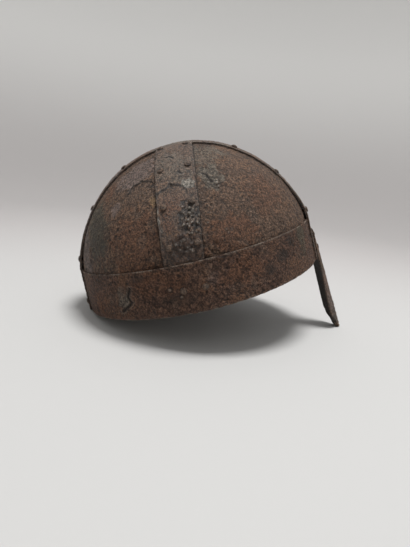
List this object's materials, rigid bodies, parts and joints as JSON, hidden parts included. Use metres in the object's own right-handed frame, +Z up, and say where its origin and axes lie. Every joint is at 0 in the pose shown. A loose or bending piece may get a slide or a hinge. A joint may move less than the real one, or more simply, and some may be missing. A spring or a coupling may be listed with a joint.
{
  "type": "norse iron helmet",
  "caption": "Old rusted iron helmet of riveted plates: a brow band, a crest strap, side straps, infill plates and a ridged nasal bar.",
  "frame": {"origin": "on the floor at the middle of the helmet's box, as it rests on the tip of its nose bar and the back of its rim", "axes": "-Y is the helmet's front, +X the wearer's left and +Z up; the rim leans back by 18.4 degrees"},
  "size_m": [0.2136, 0.2838, 0.1796],
  "materials": {
    "band_iron": "rusted reddish brown, matt, with darker stains",
    "strap_iron": "dark grey brown, pebbled rust with pale worn patches",
    "plate_iron": "rusted brown, finely pitted, with olive and grey patches",
    "nasal_iron": "dark brown, matt, worn lighter on the ridge",
    "rivet_iron": "dark grey brown domed heads"
  },
  "bodies": {
    "root": {"brow_band": "band_iron", "crest_strap": "strap_iron", "side_strap_right": "strap_iron", "side_strap_left": "strap_iron", "nasal": "nasal_iron", "plate_front_right": "plate_iron", "plate_rear_right": "plate_iron", "plate_front_left": "plate_iron", "plate_rear_left": "plate_iron", "crest_rivet_front_right_1": "rivet_iron", "crest_rivet_front_right_2": "rivet_iron", "crest_rivet_front_right_3": "rivet_iron", "crest_rivet_rear_right_1": "rivet_iron", "crest_rivet_rear_right_2": "rivet_iron", "crest_rivet_rear_right_3": "rivet_iron", "crest_rivet_foot_right": "rivet_iron", "crest_rivet_front_left_1": "rivet_iron", "crest_rivet_front_left_2": "rivet_iron", "crest_rivet_front_left_3": "rivet_iron", "crest_rivet_rear_left_1": "rivet_iron", "crest_rivet_rear_left_2": "rivet_iron", "crest_rivet_rear_left_3": "rivet_iron", "crest_rivet_foot_left": "rivet_iron", "side_rivet_rear_right_1": "rivet_iron", "side_rivet_rear_right_2": "rivet_iron", "side_rivet_rear_right_3": "rivet_iron", "side_rivet_rear_right_4": "rivet_iron", "band_rivet_rear_right": "rivet_iron", "side_rivet_front_right_1": "rivet_iron", "side_rivet_front_right_2": "rivet_iron", "side_rivet_front_right_3": "rivet_iron", "side_rivet_front_right_4": "rivet_iron", "band_rivet_front_right": "rivet_iron", "side_rivet_rear_left_1": "rivet_iron", "side_rivet_rear_left_2": "rivet_iron", "side_rivet_rear_left_3": "rivet_iron", "side_rivet_rear_left_4": "rivet_iron", "band_rivet_rear_left": "rivet_iron", "side_rivet_front_left_1": "rivet_iron", "side_rivet_front_left_2": "rivet_iron", "side_rivet_front_left_3": "rivet_iron", "side_rivet_front_left_4": "rivet_iron", "band_rivet_front_left": "rivet_iron", "nasal_rivet_1": "rivet_iron", "nasal_rivet_2": "rivet_iron"}
  },
  "joints": []
}
